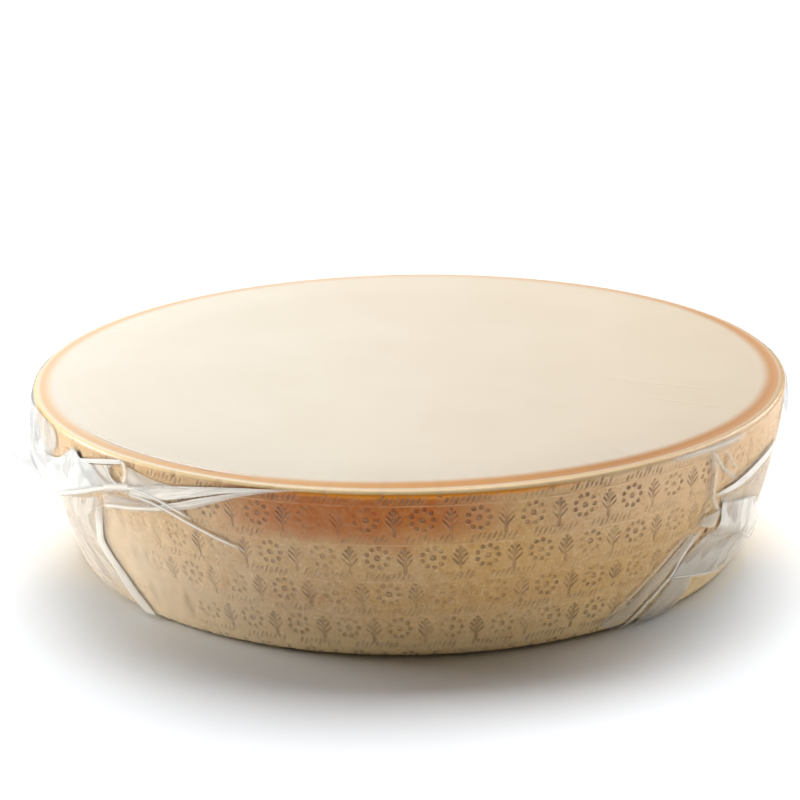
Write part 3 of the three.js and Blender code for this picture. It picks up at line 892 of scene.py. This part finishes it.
def strand_surface(strand, layer):
    """A narrow pleat along a curve: its height and whiteness fall off like a bell across it, and it thins
    out at both ends."""
    path = flat_places(strand.path)
    length = np.hypot(*np.diff(np.array(path)[:, :2], axis=0).T).sum()
    run = np.linspace(0, 1, int(length / FILM_STEP) + 8)
    track = spline(path, run)
    curve, off = track[:, :2], track[:, [2]]
    heading = np.gradient(curve, axis=0)
    aside = np.stack([-heading[:, 1], heading[:, 0]], -1) / np.hypot(*heading.T)[:, None]
    across = np.linspace(-1, 1, STRAND_POINTS)[None, :]
    taper = np.clip(np.sin(math.pi * run) * 2.2, 0.0, 1)[:, None] ** 0.7
    half = strand.width * (0.55 + 0.45 * taper)
    along, z = ((curve[:, [i]] + aside[:, [i]] * half * across) for i in range(2))
    bell = np.exp(-(across / 0.42) ** 2)
    lift = FOLD_GAP + LAYER_GAP * layer + off + strand.lift * bell * taper
    haze = strand.veil * np.exp(-(across / 0.5) ** 2) * taper * (1 - across**4)
    run_length = run[:, None] * length + 0 * across
    return along, z, lift, haze, run_length, half * across, strand.tone, STRAND_STREAKS


def make_gather(name, layers, seed):
    """Loose film as layers of sheets and strands, each its own open patch of one mesh."""
    points, quads = [], []
    looks = {"haze": [], "run": [], "across": [], "tone": [], "streaky": []}
    count = 0
    for layer, part in enumerate(layers):
        is_strand = isinstance(part, Strand)
        made = strand_surface(part, layer) if is_strand else sheet_surface(part, layer, seed + 2 * layer)
        along, z, lift, haze, run, across, tone, streaky = made
        rows, columns = along.shape
        points.append(on_side(along, np.clip(z, LOWEST, HEIGHT - LOWEST), lift).reshape(-1, 3))
        quads.append(grid_faces(rows, columns, False) + count)
        values = {"haze": np.clip(haze, 0, 1), "run": run, "across": across + LAYER_SHIFT * layer,
                  "tone": tone + 0 * haze, "streaky": streaky + 0 * haze}
        for look, value in values.items():
            looks[look].append(value.ravel())
        count += rows * columns
    piece = add_mesh(name, np.concatenate(points), np.concatenate(quads))
    for look, value in looks.items():
        mark(piece, look, np.concatenate(value))
    return piece


def loose_film_material():
    """Film whose whiteness, streaks along its run and tone, up to the brown of painted fold shade, are read
    from the marks on its points.
    """
    g = Graph("loose_film")
    run = g.attribute("run")
    across = g.attribute("across")
    streaky = g.attribute("streaky")
    streaks = g.noise(1.0, 2, vector=g.vector(run * 0.03, across * 0.3, 0.0)) * streaky
    lines = g.noise(1.0, 2, vector=g.vector(run * 0.05, across * 0.9, 5.0)) * streaky
    haze = clamped(g.attribute("haze") * (1 + streaks * 1.3 + lines * 0.5))
    normal = g.bump(streaks * 0.5 + lines * 0.2, MM, 0.6, side_normal(g, 0.8))
    tone = g.attribute("tone")
    white = g.mix(clamped(tone - 1), g.mix(clamped(tone), FILM_COOL, FILM_WARM), FILM_GREY)
    # tone 3 gives the brown of painted fold shade
    white = g.mix(clamped(tone - 2), white, FILM_FOLD_SHADE)
    return g.finish(film_shader(g, haze, 0.5, normal, white))


# ---------------------------------------------------------------- stage, light and camera
FLOOR_HALF = 14.0


def floor_material():
    """Pale matt paper, a little cooler near the wheel to offset the warm light that the wheel throws on it,
    and painted whiter far behind it, where less light reaches.
    """
    g = Graph("floor_white")
    tone = g.mix(clamped(0.5 + g.noise(3, 2)), (0.91, 0.94, 0.97, 1), (0.92, 0.95, 0.98, 1))
    # painted light: whiter far behind, where the lamps reach less
    tone = g.mix(eased((g.axes()[1] - 1.0) / 1.4), tone, (0.99, 0.99, 0.99, 1))
    paper = g.node("ShaderNodeBsdfPrincipled", None, {"Base Color": tone, "Roughness": 0.9})
    paper.inputs["Specular IOR Level"].default_value = 0.1
    return g.finish(paper.outputs[0])


def make_floor():
    """A wide flat square under the wheel, which is stage and not part of it."""
    corners = np.array([[-1, -1, 0], [1, -1, 0], [1, 1, 0], [-1, 1, 0]]) * FLOOR_HALF
    floor = add_mesh("floor", corners, np.array([[0, 1, 2, 3]]))
    floor.data.materials.append(floor_material())
    return floor


def soft_light(name, place, aim, width, height, power, lit):
    """A soft box of a given width and height that shines from place towards aim, on the lit pieces only."""
    lamp = bpy.data.lights.new(name, "AREA")
    lamp.shape = "RECTANGLE"
    lamp.size = width
    lamp.size_y = height
    lamp.energy = power
    holder = bpy.data.objects.new(name, lamp)
    bpy.context.scene.collection.objects.link(holder)
    holder.location = place
    holder.rotation_euler = (Vector(aim) - Vector(place)).to_track_quat("-Z", "Y").to_euler()
    group = bpy.data.collections.new("lit_by_" + name)
    for piece in lit:
        group.objects.link(piece)
    holder.light_linking.receiver_collection = group


def make_light(pieces, floor):
    """Soft boxes above, at both sides and low in front. Each side has one for the cheese and one for the
    floor, so that the shadow under it can be as deep as it is while its side stays bright."""
    world = bpy.data.worlds.new("studio")
    world.use_nodes = True
    backdrop = world.node_tree.nodes["Background"]
    backdrop.inputs[0].default_value = (1, 1, 1, 1)
    backdrop.inputs[1].default_value = 0.03
    bpy.context.scene.world = world
    aim = (0, 0, 0.05)
    for name, lit, roof, left, right in (("pieces", pieces, 143, 34, 34), ("floor", [floor], 270, 20, 17)):
        soft_light("roof_box_" + name, (0, 2.1, 3.8), (0, 0.8, 0), 3.6, 3.6, roof, lit)
        soft_light("left_box_" + name, (-1.8, 0.35, 0.62), aim, 0.8, 0.85, left, lit)
        soft_light("right_box_" + name, (1.4, 1.0, 1.1), aim, 1.2, 1.2, right, lit)
    soft_light("low_left_box", (-1.3, -0.6, 0.3), aim, 0.8, 0.4, 2.6, pieces)
    soft_light("low_right_box", (1.3, -0.6, 0.3), aim, 0.8, 0.4, 2.2, pieces)
    soft_light("far_box", (0, 3.0, 1.4), (0, 3.001, 0), 5.0, 1.2, 10, [floor])
    soft_light("near_box", (0.8, -0.02, 0.5), (0.4, 0, 0), 0.4, 0.4, 0.8, [floor])


CAMERA_DISTANCE = 5.5 * CUT_RADIUS * MM
CAMERA_RISE = math.radians(21.143)
CAMERA_DIP = math.radians(17.666)
CAMERA_TURN = math.radians(-0.284)
CAMERA_ROLL = math.radians(-0.947)
CAMERA_LENS = 89.47
CAMERA_SENSOR = 36.0


def make_camera():
    """Stands in front at its rise, looks along +Y turned and dipped a little, and is rolled a little."""
    ahead = Vector((math.sin(CAMERA_TURN) * math.cos(CAMERA_DIP),
                    math.cos(CAMERA_TURN) * math.cos(CAMERA_DIP), -math.sin(CAMERA_DIP)))
    right = Vector((math.cos(CAMERA_TURN), -math.sin(CAMERA_TURN), 0))
    up = right.cross(ahead)
    tilted_right = right * math.cos(CAMERA_ROLL) + up * math.sin(CAMERA_ROLL)
    tilted_up = up * math.cos(CAMERA_ROLL) - right * math.sin(CAMERA_ROLL)
    data = bpy.data.cameras.new("camera")
    data.lens = CAMERA_LENS
    data.sensor_width = CAMERA_SENSOR
    camera = bpy.data.objects.new("camera", data)
    bpy.context.scene.collection.objects.link(camera)
    turn = Matrix((tilted_right, tilted_up, -ahead)).transposed()
    place = Vector((0, -math.cos(CAMERA_RISE), math.sin(CAMERA_RISE))) * CAMERA_DISTANCE
    camera.matrix_world = Matrix.Translation(place) @ turn.to_4x4()
    bpy.context.scene.camera = camera


# ---------------------------------------------------------------- putting it together
def dress(piece, material):
    """Gives a piece its material and slot, lets it ride on the body and stand for the CAD solid."""
    piece.data.materials.append(material)
    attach(piece, "root")
    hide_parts(NODE)


make_camera()
cheese = make_cheese()
skin = make_skin()
left_folds = make_gather("film_gather_left", LEFT_FILM, 40)
right_folds = make_gather("film_gather_right", RIGHT_FILM, 90)
loose = loose_film_material()
dress(cheese, cheese_material())
dress(skin, skin_material())
dress(left_folds, loose)
dress(right_folds, loose)
make_light([cheese, skin, left_folds, right_folds], make_floor())

bpy.context.scene.view_settings.view_transform = "Standard"
